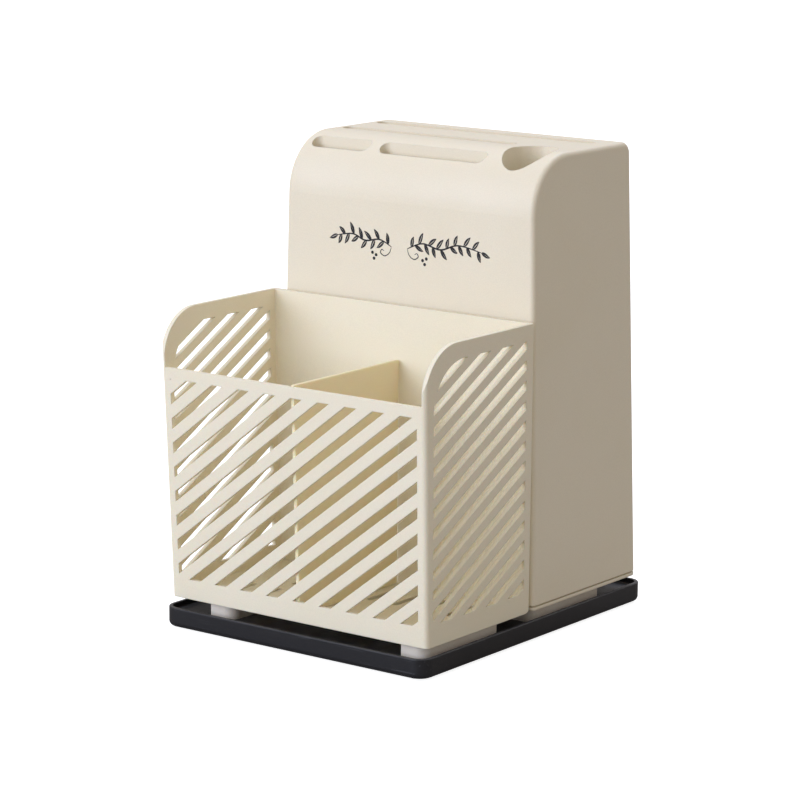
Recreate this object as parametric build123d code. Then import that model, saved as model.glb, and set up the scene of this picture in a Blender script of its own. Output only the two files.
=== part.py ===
"""Cutlery and pen organizer on a turning drip tray.

A slotted two-cell basket and a closed blade tower stand on short feet in a
shallow drip tray.  The tray turns on a flat ball-bearing turntable that is
recessed under it.  Basket, divider, tower and tower shell all lift straight up.

Units are millimetres, +Z is up and the front faces -Y.  The origin is on the
table, on the swivel axis, under the middle of the tray.
"""
import math
import os

from build123d import *

os.makedirs("parts", exist_ok=True)

# ---------------------------------------------------------------- dimensions
# Drip tray
TRAY_WIDTH = 163.5
TRAY_DEPTH = 195.0
TRAY_BOTTOM_Z = 1.0
TRAY_RIM_Z = 11.2
TRAY_FLOOR_UNDER_Z = 6.5
TRAY_FLOOR_Z = 8.0
TRAY_CORNER_R = 8.0
TRAY_RIM_WALL = 1.8
TRAY_SKIRT_WALL = 4.0
TRAY_EDGE_R = 2.6
TRAY_RIB = 1.5
TRAY_RIB_Z = 3.4

# Turntable under the tray
DISC_R = 62.0
DISC_BOTTOM_Z = 1.2
DISC_TOP_Z = 3.0
PAD_R = 6.0
PAD_CIRCLE_R = 53.5
PAD_COUNT = 6
BALL_R = 1.6
BALL_CIRCLE_R = 44.0
BALL_Z = 4.25
BALL_COUNT = 12
BALL_PLAY = 0.3
LOWER_RACE_Z = 2.1
LOWER_RACE_TOP_Z = 3.2
RACE_HALF_WIDTH = 6.0
UPPER_RACE_R = 50.0
UPPER_RACE_Z = 5.3
CAGE_HALF_WIDTH = 4.0
CAGE_Z = 3.75
CAGE_TOP_Z = 4.75
RIVET_R = 4.0
RIVET_HEAD_R = 7.0
RIVET_FIT = 0.05
WASHER_R = 8.0
RACE_SCREW_CIRCLE_R = 28.0
RACE_SCREW_COUNT = 4
SCREW_R = 1.2
SCREW_HEAD_R = 2.4
SCREW_PLAY = 0.05
BOSS_R = 3.6
BOSS_TOP_Z = 10.0
HUB_BOSS_R = 12.0
HUB_BOSS_TOP_Z = 9.4
HUB_POCKET_R = 9.5
HUB_POCKET_TOP_Z = 7.9

# Feet, one moulding used four times
FOOT_WIDTH = 14.5
FOOT_LENGTH = 61.0
FOOT_FRONT_R = 6.0
FOOT_EDGE_R = 1.2
FOOT_LEFT_X = (-57.2, 62.0)
BASKET_FOOT_Y = -89.5
TOWER_FOOT_Y = 0.6
FOOT_SCREW_Y = (12.0, 49.0)
FOOT_COUNTERBORE_Z = 10.4

# Basket
BASKET_Z = 15.5
BASKET_FRONT_TOP_Z = 134.2
BASKET_TOP_Z = 162.4
BASKET_HALF_X = (80.0, 82.0)
BASKET_FRONT_Y = (-92.0, -98.8)
BASKET_REAR_Y = (-4.8, -7.6)
BASKET_WALL = 2.4
BASKET_FLOOR = 2.5
BASKET_CORNER_R = 2.6
BASKET_REAR_EDGE_R = 5.0
SIDE_ARC_R = 25.0

# Basket slots
FRONT_SLOT_ANGLE = 37.4
FRONT_SLOT_WIDTH = 4.3
FRONT_SLOT_STEP_X = 16.55
FRONT_SLOT_PHASE_X = 1.5
FRONT_FIELD_Z = (25.8, 128.7)
FRONT_FIELD_INSET = 5.3
SIDE_SLOT_ANGLE = 28.5
SIDE_SLOT_WIDTH = 4.4
SIDE_SLOT_STEP_Z = 10.25
SIDE_SLOT_PHASE_LEFT_Z = 129.0
SIDE_SLOT_PHASE_RIGHT_Z = 132.2
SIDE_FIELD_Z = (26.4, 154.2)
SIDE_FIELD_FRONT_Y = (-87.8, -91.6)
SIDE_FIELD_REAR_Y = (-11.3, -14.6)
SIDE_FIELD_ARC_R = 24.0
FLOOR_SLOT = (3.4, 24.0)

# Divider and the ribs that guide it
DIVIDER_THICK = 2.0
DIVIDER_REAR_Y = -10.4
DIVIDER_TOP_Z = 134.8
DIVIDER_PLAY = 0.4
DIVIDER_BOTTOM_Z = 18.4
GROOVE_DEPTH = 1.0
DIVIDER_REACH = 0.6

# Tower
TOWER_Z = 18.2
TOWER_TOP_Z = 242.7
TOWER_HALF_X = (81.0, 76.2)
TOWER_FRONT_Y = (-4.0, -3.4)
TOWER_REAR_Y = (90.0, 83.8)
TOWER_FRONT_R = 30.0
TOWER_REAR_R = 6.0
TOWER_EDGE_R = 2.6
TOWER_WALL = 2.4
TOWER_ROOF = 2.6
FLANGE_Z = 15.5
FLANGE_TOP_Z = 17.4
SEAM_DEPTH = 1.8
SPIGOT_INSET = 3.1
SPIGOT_WALL = 1.8
SPIGOT_TOP_Z = 26.0

# Blade slots: (left x, right x, front y, rear y)
BLADE_SLOTS = (
    (-71.0, -34.0, 7.2, 15.2),
    (-27.5, 38.0, 7.2, 15.2),
    (-71.0, 38.0, 33.0, 41.0),
    (-71.0, 66.0, 62.0, 70.0),
)
SCISSORS_CENTRE = (57.0, 22.0)
SCISSORS_RADII = (12.8, 16.5)
CHUTE_WALL = 1.6
CHUTE_Z = 212.0

# Blade guide, a rack that stands on the tower base
GUIDE_Z = 18.2
GUIDE_TOP_Z = 100.0
GUIDE_THICK = 1.8
GUIDE_FRONT_ROW_Y = 24.0
GUIDE_REAR_ROW_Y = 51.5
GUIDE_CROSS_X = 41.0
GUIDE_HALF_X = 72.6
GUIDE_FRONT_Y = 1.8
GUIDE_REAR_Y = 80.0


# ------------------------------------------------------------------- helpers
def box_between(x0, x1, y0, y1, z0, z1):
    """Axis-aligned box from its limits."""
    size = (x1 - x0, y1 - y0, z1 - z0)
    centre = ((x0 + x1) / 2, (y0 + y1) / 2, (z0 + z1) / 2)
    return Pos(*centre) * Box(*size)


def disc(radius, z0, z1, x=0.0, y=0.0):
    """Upright cylinder between two heights."""
    return Pos(x, y, (z0 + z1) / 2) * Cylinder(radius, z1 - z0)


def ring(inner_r, outer_r, z0, z1):
    """Flat ring between two heights."""
    return disc(outer_r, z0, z1) - disc(inner_r, z0 - 1, z1 + 1)


def rounded_block(half_x, y0, y1, z0, z1, radius):
    """Block, centred on x, with rounded upright corners."""
    plan = Pos(0, (y0 + y1) / 2) * RectangleRounded(2 * half_x, y1 - y0, radius)
    return Pos(0, 0, z0) * extrude(plan, z1 - z0)


def between(pair, z, z_pair):
    """Value on the straight line between two heights."""
    share = (z - z_pair[0]) / (z_pair[1] - z_pair[0])
    return pair[0] + (pair[1] - pair[0]) * share


def tapered_block(half_x, front_y, rear_y, z_pair, radius):
    """Block whose four walls lean, with rounded upright corners."""
    sections = []
    for end in (0, 1):
        width = 2 * half_x[end]
        depth = rear_y[end] - front_y[end]
        plan = RectangleRounded(width, depth, radius)
        sections.append(Pos(0, (front_y[end] + rear_y[end]) / 2, z_pair[end]) * plan)
    return loft(sections, ruled=True)


def polar_points(count, radius, start=0.0):
    """Evenly spaced points on a circle about the swivel axis."""
    points = []
    for index in range(count):
        angle = math.radians(start + 360 * index / count)
        points.append((radius * math.cos(angle), radius * math.sin(angle)))
    return points


def yz_prism(face, half_x):
    """Face drawn as (y, z), made into a prism across the width."""
    return extrude(Plane.YZ * face, half_x, both=True)


def save(shape, name):
    """Write one node."""
    solids = shape.solids()
    body = Compound(children=list(solids)) if len(solids) > 1 else solids[0]
    body.label = name
    export_step(body, "parts/" + name + ".step")
    print(name, len(solids), round(sum(s.volume for s in solids)), "mm3")


# ----------------------------------------------------------------- turntable
def ball_groove():
    """Ring that leaves the balls their rolling groove."""
    return Pos(0, 0, BALL_Z) * Torus(BALL_CIRCLE_R, BALL_R + BALL_PLAY)


def base_disc():
    """Plastic disc with a pocket for the lower race and one for the rivet head."""
    body = disc(DISC_R, DISC_BOTTOM_Z, DISC_TOP_Z)
    body = fillet(body.edges().group_by(Axis.Z)[-1], 0.6)
    inner_r = BALL_CIRCLE_R - RACE_HALF_WIDTH
    outer_r = BALL_CIRCLE_R + RACE_HALF_WIDTH
    body -= ring(inner_r, outer_r, LOWER_RACE_Z, DISC_TOP_Z + 1)
    body -= disc(RIVET_HEAD_R, DISC_BOTTOM_Z - 1, DISC_BOTTOM_Z + 0.6)
    body -= disc(RIVET_R, 0, DISC_TOP_Z + 1)
    for x, y in polar_points(8, 24.0, 22.5):
        body -= disc(5.0, 0, DISC_TOP_Z + 1, x, y)
    return body


def rubber_pads():
    """Anti-slip pads under the disc."""
    pads = []
    for x, y in polar_points(PAD_COUNT, PAD_CIRCLE_R):
        pad = disc(PAD_R, 0, DISC_BOTTOM_Z, x, y)
        pads.append(fillet(pad.edges().group_by(Axis.Z)[0], 0.4))
    return Compound(children=pads)


def lower_race():
    """Steel ring let into the disc."""
    inner_r = BALL_CIRCLE_R - RACE_HALF_WIDTH
    outer_r = BALL_CIRCLE_R + RACE_HALF_WIDTH
    return ring(inner_r, outer_r, LOWER_RACE_Z, LOWER_RACE_TOP_Z) - ball_groove()


def upper_race():
    """Steel plate that carries the tray on the balls."""
    body = disc(UPPER_RACE_R, UPPER_RACE_Z, TRAY_FLOOR_UNDER_Z) - ball_groove()
    body -= disc(RIVET_R + RIVET_FIT, 0, 20)
    for x, y in polar_points(RACE_SCREW_COUNT, RACE_SCREW_CIRCLE_R, 45):
        body -= disc(SCREW_R + 0.2, 0, 20, x, y)
    for x, y in polar_points(RACE_SCREW_COUNT, 25.0):
        body -= disc(6.0, 0, 20, x, y)
    return body


def ball_cage():
    """Ring that keeps the balls apart."""
    body = ring(BALL_CIRCLE_R - CAGE_HALF_WIDTH, BALL_CIRCLE_R + CAGE_HALF_WIDTH, CAGE_Z, CAGE_TOP_Z)
    for x, y in polar_points(BALL_COUNT, BALL_CIRCLE_R, 15):
        body -= disc(BALL_R + BALL_PLAY, 0, 20, x, y)
    return body


def bearing_balls():
    """Balls of the turntable."""
    balls = []
    for x, y in polar_points(BALL_COUNT, BALL_CIRCLE_R, 15):
        balls.append(Pos(x, y, BALL_Z) * Sphere(BALL_R))
    return Compound(children=balls)


def pivot_rivet():
    """Flanged rivet that holds the turntable together."""
    body = disc(RIVET_HEAD_R, DISC_BOTTOM_Z, DISC_BOTTOM_Z + 0.6)
    body += disc(RIVET_R, DISC_BOTTOM_Z, 7.5)
    body += disc(RIVET_HEAD_R, DISC_TOP_Z, UPPER_RACE_Z - 0.3)
    body += disc(RIVET_HEAD_R, 6.9, 7.5)
    return body


def rivet_washer():
    """Thin washer under the rivet's upper head."""
    return ring(RIVET_R, WASHER_R, 6.6, 6.9)


def race_screws():
    """Pan-head screws that hold the upper race to the tray."""
    screws = []
    for x, y in polar_points(RACE_SCREW_COUNT, RACE_SCREW_CIRCLE_R, 45):
        head = disc(SCREW_HEAD_R, UPPER_RACE_Z - 1.1, UPPER_RACE_Z, x, y)
        head = fillet(head.edges().group_by(Axis.Z)[0], 0.6)
        head -= Pos(x, y, UPPER_RACE_Z - 1.1) * Box(3.0, 0.6, 0.9)
        head -= Pos(x, y, UPPER_RACE_Z - 1.1) * Box(0.6, 3.0, 0.9)
        screws.append(head + disc(SCREW_R, UPPER_RACE_Z, BOSS_TOP_Z - 0.9, x, y))
    return Compound(children=screws)


# ---------------------------------------------------------------------- tray
def drip_tray():
    """Shallow tray with a raised rim, a skirt, and bosses for the turntable."""
    half_x = TRAY_WIDTH / 2
    half_y = TRAY_DEPTH / 2
    body = rounded_block(half_x, -half_y, half_y, TRAY_BOTTOM_Z, TRAY_RIM_Z, TRAY_CORNER_R)
    body = fillet(body.edges().group_by(Axis.Z)[0], TRAY_EDGE_R)
    body = fillet(body.edges().group_by(Axis.Z)[-1], 0.5)
    wall = TRAY_RIM_WALL
    inner_r = TRAY_CORNER_R - wall
    well = rounded_block(half_x - wall, -half_y + wall, half_y - wall, TRAY_FLOOR_Z, 20, inner_r)
    well = fillet(well.edges().group_by(Axis.Z)[0], 1.2)
    skirt = TRAY_SKIRT_WALL
    under_r = TRAY_CORNER_R - skirt
    under = rounded_block(half_x - skirt, -half_y + skirt, half_y - skirt, 0, TRAY_FLOOR_UNDER_Z, under_r)
    body = body - well - under
    for side in (-1, 1):
        x = side * (DISC_R + 9)
        y = side * (DISC_R + 13)
        body += box_between(x - TRAY_RIB / 2, x + TRAY_RIB / 2, -half_y + 3, half_y - 3, TRAY_RIB_Z, 7)
        body += box_between(-half_x + 3, half_x - 3, y - TRAY_RIB / 2, y + TRAY_RIB / 2, TRAY_RIB_Z, 7)
    body += disc(HUB_BOSS_R, TRAY_FLOOR_Z - 0.5, HUB_BOSS_TOP_Z)
    body -= disc(HUB_POCKET_R, 0, HUB_POCKET_TOP_Z)
    for x, y in polar_points(RACE_SCREW_COUNT, RACE_SCREW_CIRCLE_R, 45):
        body += disc(BOSS_R, TRAY_FLOOR_Z - 0.5, BOSS_TOP_Z, x, y)
        body -= disc(SCREW_R + SCREW_PLAY, 0, BOSS_TOP_Z - 0.8, x, y)
    return body


# ---------------------------------------------------------------------- feet
def foot(left_x, front_y):
    """One foot bar, with its large round at the front right corner."""
    right_x = left_x + FOOT_WIDTH
    rear_y = front_y + FOOT_LENGTH
    body = box_between(left_x, right_x, front_y, rear_y, TRAY_FLOOR_Z, BASKET_Z)
    upright = body.edges().filter_by(Axis.Z)
    front = upright.group_by(Axis.Y)[0]
    rear = upright.group_by(Axis.Y)[-1]
    body = fillet(front.sort_by(Axis.X)[-1], FOOT_FRONT_R)
    keep = body.edges().filter_by(Axis.Z)
    others = [e for e in keep if e.center().X < left_x + 0.1 or e.center().Y > rear_y - 0.1]
    body = fillet(others, FOOT_EDGE_R)
    for x, y in foot_screw_points(left_x, front_y):
        body -= disc(SCREW_R + SCREW_PLAY, 0, 30, x, y)
        body -= disc(SCREW_HEAD_R + 0.2, 0, FOOT_COUNTERBORE_Z, x, y)
    return body


def foot_screw_points(left_x, front_y):
    """Two screw positions along a foot."""
    return [(left_x + FOOT_WIDTH / 2, front_y + y) for y in FOOT_SCREW_Y]


def feet(front_y):
    """Pair of feet under one unit."""
    return Compound(children=[foot(x, front_y) for x in FOOT_LEFT_X])


def foot_screws(front_y):
    """Screws of one pair of feet, driven up from below."""
    screws = []
    for left_x in FOOT_LEFT_X:
        for x, y in foot_screw_points(left_x, front_y):
            head = disc(SCREW_HEAD_R, FOOT_COUNTERBORE_Z - 1.4, FOOT_COUNTERBORE_Z, x, y)
            head -= Pos(x, y, FOOT_COUNTERBORE_Z - 1.4) * Box(3.0, 0.6, 1.0)
            head -= Pos(x, y, FOOT_COUNTERBORE_Z - 1.4) * Box(0.6, 3.0, 1.0)
            screws.append(head + disc(SCREW_R, FOOT_COUNTERBORE_Z, BASKET_Z + 1.6, x, y))
    return Compound(children=screws)


def foot_screw_bores(front_y):
    """Blind bores that take the foot screws."""
    bores = []
    for left_x in FOOT_LEFT_X:
        for x, y in foot_screw_points(left_x, front_y):
            bores.append(disc(SCREW_R + SCREW_PLAY, BASKET_Z - 1, BASKET_Z + 1.7, x, y))
    return Compound(children=bores)


# -------------------------------------------------------------------- basket
BASKET_SPAN = (BASKET_Z, BASKET_TOP_Z)


def basket_block(inset, z0, z1, corner_r):
    """Basket outline, moved inwards, between two heights."""
    heights = (z0, z1)
    half_x = tuple(between(BASKET_HALF_X, z, BASKET_SPAN) - inset for z in heights)
    front_y = tuple(between(BASKET_FRONT_Y, z, BASKET_SPAN) + inset for z in heights)
    rear_y = tuple(between(BASKET_REAR_Y, z, BASKET_SPAN) - inset for z in heights)
    return tapered_block(half_x, front_y, rear_y, heights, corner_r)


def front_slot_field():
    """Diagonal slots of the front panel, ready to cut."""
    z0, z1 = FRONT_FIELD_Z
    low = between(BASKET_HALF_X, z0, BASKET_SPAN) - FRONT_FIELD_INSET
    high = between(BASKET_HALF_X, z1, BASKET_SPAN) - FRONT_FIELD_INSET
    outline = Polygon((-low, z0), (low, z0), (high, z1), (-high, z1), align=None)
    cut = []
    for step in range(-14, 8):
        x = FRONT_SLOT_PHASE_X + step * FRONT_SLOT_STEP_X
        strip = Rotation(0, 0, FRONT_SLOT_ANGLE) * Rectangle(520, FRONT_SLOT_WIDTH)
        piece = (Pos(x, z0) * strip) & outline
        if piece is not None:
            cut.extend(piece.faces())
    plane = Plane(origin=(0, -84, 0), x_dir=(1, 0, 0), z_dir=(0, -1, 0))
    return [extrude(plane * face, 30) for face in cut]


def side_slot_outline():
    """Field of the side slots, drawn as (y, z)."""
    z0, z1 = SIDE_FIELD_Z
    front_low, front_high = SIDE_FIELD_FRONT_Y
    rear_low, rear_high = SIDE_FIELD_REAR_Y
    outline = Polygon(
        (front_low, z0), (rear_low, z0), (rear_high, z1), (front_high, z1), align=None
    )
    corner = outline.vertices().sort_by(Axis.Y)[-2:].sort_by(Axis.X)[0]
    return fillet(corner, SIDE_FIELD_ARC_R)


def side_slot_field():
    """Slanted slots of the left and the right wall, ready to cut."""
    outline = side_slot_outline()
    slots = []
    for phase_z, middle_x in ((SIDE_SLOT_PHASE_LEFT_Z, -80), (SIDE_SLOT_PHASE_RIGHT_Z, 80)):
        for step in range(-4, 17):
            z = phase_z - step * SIDE_SLOT_STEP_Z
            strip = Rotation(0, 0, SIDE_SLOT_ANGLE) * Rectangle(360, SIDE_SLOT_WIDTH)
            piece = (Pos(-90, z) * strip) & outline
            if piece is None:
                continue
            wide = [face for face in piece.faces() if face.area > 6]
            slots.extend(Pos(middle_x, 0, 0) * yz_prism(face, 15) for face in wide)
    return slots


def side_arc_cutter():
    """Material outside the large round at the front of each side wall."""
    front = between(BASKET_FRONT_Y, BASKET_TOP_Z, BASKET_SPAN)
    centre_y = front + 0.7 + SIDE_ARC_R
    centre_z = BASKET_TOP_Z - SIDE_ARC_R
    corner = box_between(-100, 100, centre_y - 60, centre_y, centre_z, centre_z + 60)
    round_bar = Pos(0, centre_y, centre_z) * Rotation(0, 90, 0) * Cylinder(SIDE_ARC_R, 220)
    return corner - round_bar


def rear_edge_cutter():
    """Material outside the round along the bottom rear edge."""
    radius = BASKET_REAR_EDGE_R
    centre_y = BASKET_REAR_Y[0] - radius
    centre_z = BASKET_Z + radius
    corner = box_between(-100, 100, centre_y, centre_y + 20, centre_z - 20, centre_z)
    round_bar = Pos(0, centre_y, centre_z) * Rotation(0, 90, 0) * Cylinder(radius, 220)
    return corner - round_bar


def divider_groove():
    """Upright groove that holds the divider in the front wall."""
    half = DIVIDER_THICK / 2 + DIVIDER_PLAY
    slab = box_between(-half, half, -110, -60, BASKET_Z + BASKET_FLOOR, BASKET_TOP_Z)
    reach = basket_block(BASKET_WALL - GROOVE_DEPTH, BASKET_Z, BASKET_TOP_Z, 1.0)
    return reach & slab


def floor_slots():
    """Drain slots in the basket floor."""
    width, length = FLOOR_SLOT
    slots = []
    for row in range(2):
        for column in range(-4, 5):
            x = column * 16.0 + (8.0 if column < 0 else -8.0 if column > 0 else 500.0)
            y = -66.0 + row * 34.0
            slot = Pos(x, y, 0) * extrude(SlotOverall(length, width, rotation=90), 40)
            slots.append(slot)
    return slots


def basket():
    """Two-cell basket with slotted front and side walls."""
    floor_z = BASKET_Z + BASKET_FLOOR
    body = basket_block(0, BASKET_Z, BASKET_TOP_Z, BASKET_CORNER_R)
    body -= basket_block(BASKET_WALL, floor_z, BASKET_TOP_Z + 5, BASKET_CORNER_R - 2.0)
    window_x = (
        between(BASKET_HALF_X, BASKET_FRONT_TOP_Z, BASKET_SPAN) - BASKET_WALL,
        between(BASKET_HALF_X, BASKET_TOP_Z + 5, BASKET_SPAN) - BASKET_WALL,
    )
    window_z = (BASKET_FRONT_TOP_Z, BASKET_TOP_Z + 5)
    body -= tapered_block(window_x, (-130, -130), (-70, -70), window_z, 0.3)
    body -= side_arc_cutter()
    body -= rear_edge_cutter()
    for cutter in front_slot_field():
        body -= cutter
    for cutter in side_slot_field():
        body -= cutter
    for cutter in floor_slots():
        body -= cutter
    body -= divider_groove()
    body -= foot_screw_bores(BASKET_FOOT_Y)
    return body


def divider():
    """Lift-out plate between the two cells."""
    top = DIVIDER_TOP_Z
    inset = BASKET_WALL - DIVIDER_REACH
    front_low = between(BASKET_FRONT_Y, DIVIDER_BOTTOM_Z, BASKET_SPAN) + inset
    front_high = between(BASKET_FRONT_Y, top, BASKET_SPAN) + inset
    outline = Polygon(
        (front_low, DIVIDER_BOTTOM_Z),
        (DIVIDER_REAR_Y, DIVIDER_BOTTOM_Z),
        (DIVIDER_REAR_Y, top),
        (front_high, top),
        align=None,
    )
    outline = fillet(outline.vertices(), 1.0)
    plate = yz_prism(outline, DIVIDER_THICK / 2)
    return fillet(plate.faces().filter_by(Axis.X).edges(), 0.5)


# --------------------------------------------------------------------- tower
TOWER_SPAN = (TOWER_Z, TOWER_TOP_Z)


def tower_block(inset, roof, z0, front_r, rear_r, edge_r):
    """Tower outline, moved inwards, with its large round at the front top."""
    top = TOWER_TOP_Z - roof
    corners = []
    for z in (z0, top):
        corners.append((between(TOWER_FRONT_Y, z, TOWER_SPAN) + inset, z))
    for z in (top, z0):
        corners.append((between(TOWER_REAR_Y, z, TOWER_SPAN) - inset, z))
    outline = Polygon(*corners, align=None)
    top_pair = outline.vertices().sort_by(Axis.Y)[-2:].sort_by(Axis.X)
    outline = fillet(top_pair[0], front_r)
    corner = min(
        outline.vertices(), key=lambda v: (v.X - corners[2][0]) ** 2 + (v.Y - corners[2][1]) ** 2
    )
    outline = fillet(corner, rear_r)
    body = yz_prism(outline, 100)
    low_x = between(TOWER_HALF_X, z0, TOWER_SPAN) - inset
    high_x = between(TOWER_HALF_X, top, TOWER_SPAN) - inset
    front_view = Polygon((-low_x, z0), (low_x, z0), (high_x, top), (-high_x, top), align=None)
    body = body & extrude(Plane.XZ * front_view, 200, both=True)
    rims = []
    for edge in body.edges():
        middle = edge.center()
        side_x = between(TOWER_HALF_X, middle.Z, TOWER_SPAN) - inset
        if abs(abs(middle.X) - side_x) < 0.5 and middle.Z > z0 + 1:
            rims.append(edge)
    return fillet(rims, edge_r)


def opening_prisms(margin, z0):
    """Upright prisms of the roof openings, grown by a margin, from a height."""
    prisms = []
    for x0, x1, y0, y1 in BLADE_SLOTS:
        length = x1 - x0 + 2 * margin
        width = y1 - y0 + 2 * margin
        plan = Pos((x0 + x1) / 2, (y0 + y1) / 2) * SlotOverall(length, width)
        prisms.append(Pos(0, 0, z0) * extrude(plan, 60))
    radius_x, radius_y = SCISSORS_RADII
    plan = Pos(*SCISSORS_CENTRE) * Ellipse(radius_x + margin, radius_y + margin)
    prisms.append(Pos(0, 0, z0) * extrude(plan, 60))
    return prisms


def blade_cutters():
    """Blade slots and the scissors hole, straight down through the roof."""
    return opening_prisms(0, CHUTE_Z - 5)


def tower_shell():
    """Closed housing of the blade tower."""
    block = tower_block(0, 0, TOWER_Z, TOWER_FRONT_R, TOWER_REAR_R, TOWER_EDGE_R)
    cavity = tower_block(
        TOWER_WALL, TOWER_ROOF, TOWER_Z - 5, TOWER_FRONT_R - TOWER_WALL, TOWER_REAR_R - 2, 2.0
    )
    body = block - cavity
    for chute in opening_prisms(CHUTE_WALL, CHUTE_Z):
        body += chute & block
    for cutter in blade_cutters():
        body -= cutter
    return body


def base_outline(inset, z0, z1, radius):
    """Block with the tower's footprint, moved inwards."""
    half_x = TOWER_HALF_X[0] - inset
    return rounded_block(half_x, TOWER_FRONT_Y[0] + inset, TOWER_REAR_Y[0] - inset, z0, z1, radius)


def tower_base():
    """Base plate with a flange, a seam step and a spigot for the shell."""
    body = base_outline(0, FLANGE_Z, FLANGE_TOP_Z, TOWER_EDGE_R)
    body = fillet(body.edges().group_by(Axis.Z)[0], 0.8)
    body += base_outline(SEAM_DEPTH, FLANGE_TOP_Z - 0.2, TOWER_Z, TOWER_EDGE_R - SEAM_DEPTH)
    spigot = base_outline(SPIGOT_INSET, TOWER_Z - 0.2, SPIGOT_TOP_Z, 2.0)
    spigot = fillet(spigot.edges().group_by(Axis.Z)[-1], 0.7)
    spigot -= base_outline(SPIGOT_INSET + SPIGOT_WALL, TOWER_Z, SPIGOT_TOP_Z + 1, 1.0)
    body += spigot
    for row_y in (10.0, 37.5, 66.0):
        for column in range(-4, 5):
            plan = Pos(column * 15.0, row_y) * SlotOverall(14.0, 3.4, rotation=90)
            body -= Pos(0, 0, 10) * extrude(plan, 20)
    body -= foot_screw_bores(TOWER_FOOT_Y)
    return body


def blade_guide():
    """Rack of upright partitions that keeps the blades in their rows."""
    half = GUIDE_THICK / 2
    rows = (GUIDE_FRONT_ROW_Y, GUIDE_REAR_ROW_Y)
    front_x = (-GUIDE_HALF_X - 1, GUIDE_CROSS_X)
    rear_x = (-GUIDE_HALF_X - 1, GUIDE_HALF_X + 1)
    body = None
    for row_y, (x0, x1) in zip(rows, (front_x, rear_x)):
        plate = box_between(x0, x1, row_y - half, row_y + half, GUIDE_Z, GUIDE_TOP_Z)
        body = plate if body is None else body + plate
    cross_x = (GUIDE_CROSS_X - half, GUIDE_CROSS_X + half)
    body += box_between(*cross_x, GUIDE_FRONT_Y, GUIDE_REAR_ROW_Y, GUIDE_Z, GUIDE_TOP_Z)
    for side in (-1, 1):
        x0, x1 = sorted((side * GUIDE_HALF_X, side * (GUIDE_HALF_X + GUIDE_THICK)))
        body += box_between(x0, x1, GUIDE_FRONT_Y, GUIDE_REAR_Y, GUIDE_Z, 48.0)
    return body


# --------------------------------------------------------------------- write
save(base_disc(), "base_disc")
save(rubber_pads(), "rubber_pads")
save(lower_race(), "lower_race")
save(pivot_rivet(), "pivot_rivet")
save(rivet_washer(), "rivet_washer")
save(ball_cage(), "ball_cage")
save(bearing_balls(), "bearing_balls")
save(upper_race(), "upper_race")
save(race_screws(), "race_screws")
save(drip_tray(), "drip_tray")
save(basket(), "basket")
save(feet(BASKET_FOOT_Y), "basket_feet")
save(foot_screws(BASKET_FOOT_Y), "basket_foot_screws")
save(divider(), "divider")
save(tower_base(), "tower_base")
save(feet(TOWER_FOOT_Y), "tower_feet")
save(foot_screws(TOWER_FOOT_Y), "tower_foot_screws")
save(blade_guide(), "blade_guide")
save(tower_shell(), "tower_shell")
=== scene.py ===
"""Studio scene of a lazy susan organizer: basket, blade tower, drip tray and turntable.

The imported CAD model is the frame.  This script dresses every CAD piece in a
procedural finish, adds the printed sprig on the tower, and sets up the floor,
the lights and the camera.  Lengths are in metres unless a name says otherwise.
"""

import logging
import math
import random
from dataclasses import dataclass, field, replace
from enum import Enum

import bmesh
import bpy
from mathutils import Matrix, Vector


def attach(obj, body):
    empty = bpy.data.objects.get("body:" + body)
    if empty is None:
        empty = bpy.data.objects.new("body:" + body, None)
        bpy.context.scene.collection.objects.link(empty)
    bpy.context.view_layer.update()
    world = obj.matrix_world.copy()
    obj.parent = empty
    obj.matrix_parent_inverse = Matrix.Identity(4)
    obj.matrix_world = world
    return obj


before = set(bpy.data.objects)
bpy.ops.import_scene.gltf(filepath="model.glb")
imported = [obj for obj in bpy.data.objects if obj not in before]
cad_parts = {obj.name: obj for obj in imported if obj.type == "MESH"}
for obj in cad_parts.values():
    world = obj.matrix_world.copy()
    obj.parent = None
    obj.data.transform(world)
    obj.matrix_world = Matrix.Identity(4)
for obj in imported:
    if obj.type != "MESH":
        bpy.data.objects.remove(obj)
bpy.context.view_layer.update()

MM = 0.001
LOG = logging.getLogger("organizer")

Colour = tuple[float, float, float]
Point2 = tuple[float, float]
Point3 = tuple[float, float, float]
Node = bpy.types.Node
Socket = bpy.types.NodeSocket
Tree = bpy.types.NodeTree
Material = bpy.types.Material


# ------------------------------------------------------------------ vocabulary
class Unit(Enum):
    """Rigid bodies of the organizer."""

    TURNTABLE = "turntable_base"
    BALLS = "ball_ring"
    TRAY = "tray"
    BASKET = "basket_unit"
    DIVIDER = "divider_plate"
    TOWER_FOOT = "tower_foot_unit"
    TOWER = "tower_housing"


class Side(Enum):
    """Which way a drawn stroke leans or a leaf grows."""

    LEFT = -1
    RIGHT = 1


class Effect(Enum):
    """Shader node groups that several finishes share."""

    GRAIN = "moulded_grain"
    DRIFT = "tone_drift"
    EDGES = "soft_edges"
    DUST = "settled_dust"
    SCUFFS = "fine_scuffs"
    RINGS = "turned_rings"


def linear(red: int, green: int, blue: int) -> Colour:
    """Converts an 8-bit display colour to scene-linear values.

    Args:
        red: Red, 0 to 255.
        green: Green, 0 to 255.
        blue: Blue, 0 to 255.

    Returns:
        The linear colour.
    """
    out = []
    for value in (red, green, blue):
        share = value / 255
        out.append(share / 12.92 if share <= 0.04045 else ((share + 0.055) / 1.055) ** 2.4)
    return (out[0], out[1], out[2])


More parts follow.
